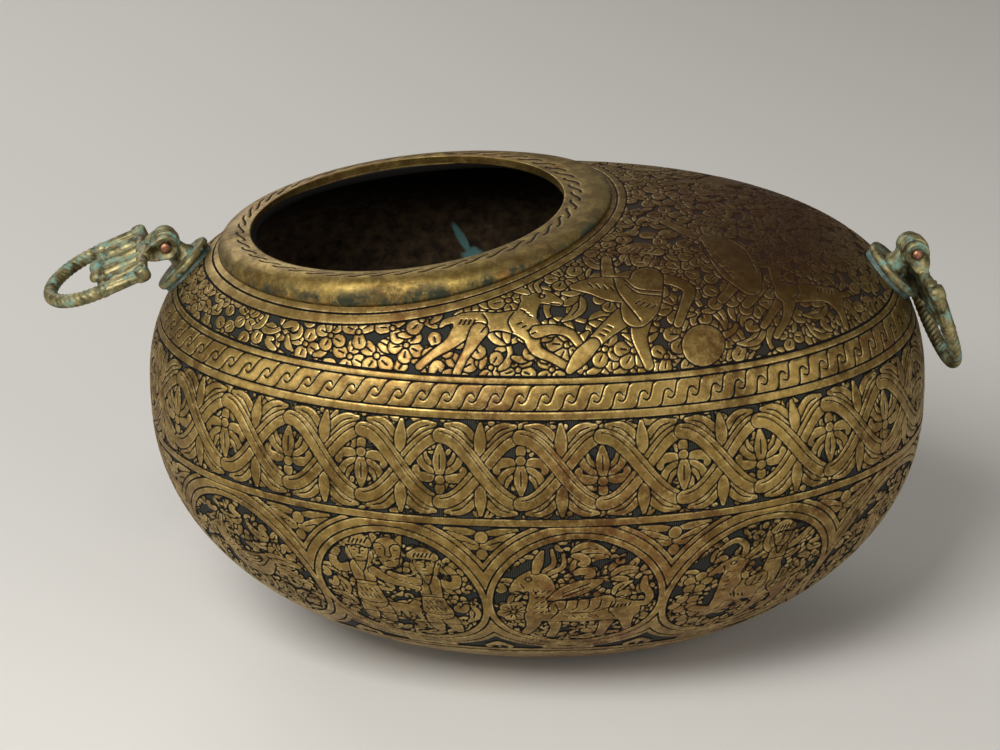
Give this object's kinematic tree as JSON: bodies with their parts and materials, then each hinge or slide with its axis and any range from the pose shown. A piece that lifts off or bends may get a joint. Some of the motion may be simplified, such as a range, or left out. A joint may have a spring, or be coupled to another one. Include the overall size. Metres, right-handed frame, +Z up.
{
  "type": "begging bowl",
  "caption": "Ovoid engraved brass kashkul with a round collared mouth on one half of its top and a hinged palmette loop at each end for a carrying chain.",
  "frame": {"origin": "centre of the flat underside that the bowl rests on", "axes": "+Z up out of the underside, X along the bowl's length with the mouth on the -X half, Y across the bowl, 12 degrees from the hinge pins, front of the picture at -Y"},
  "size_m": [0.2582, 0.152, 0.1311],
  "materials": {
    "engraved_brass": "aged, engraved, dark ground",
    "collar_brass": "aged, worn bright",
    "fitting_brass": "aged, verdigris in the corners",
    "loop_brass": "cast, aged, verdigris",
    "copper": "hammered copper",
    "solder": "dull grey-green solder"
  },
  "bodies": {
    "bowl": {"bowl_shell": "engraved_brass", "mouth_collar": "collar_brass", "left_bed_solder": "solder", "right_bed_solder": "solder", "left_disc": "fitting_brass", "right_disc": "fitting_brass", "left_lug": "fitting_brass", "right_lug": "fitting_brass", "left_rove": "fitting_brass", "right_rove": "fitting_brass"},
    "left_shackle": {"left_loop": "loop_brass", "left_pin": "copper"},
    "right_shackle": {"right_loop": "loop_brass", "right_pin": "copper"}
  },
  "joints": [
    {"name": "left_hinge", "type": "hinge", "parent": "bowl", "child": "left_shackle", "pos_m": [-0.10389, 0, 0.11638], "axis": [-0.2079, 0.9781, 0], "range_deg": [-48, 177]},
    {"name": "right_hinge", "type": "hinge", "parent": "bowl", "child": "right_shackle", "pos_m": [0.10525, 0, 0.11505], "axis": [0.2079, -0.9781, 0], "range_deg": [0, 231]}
  ]
}
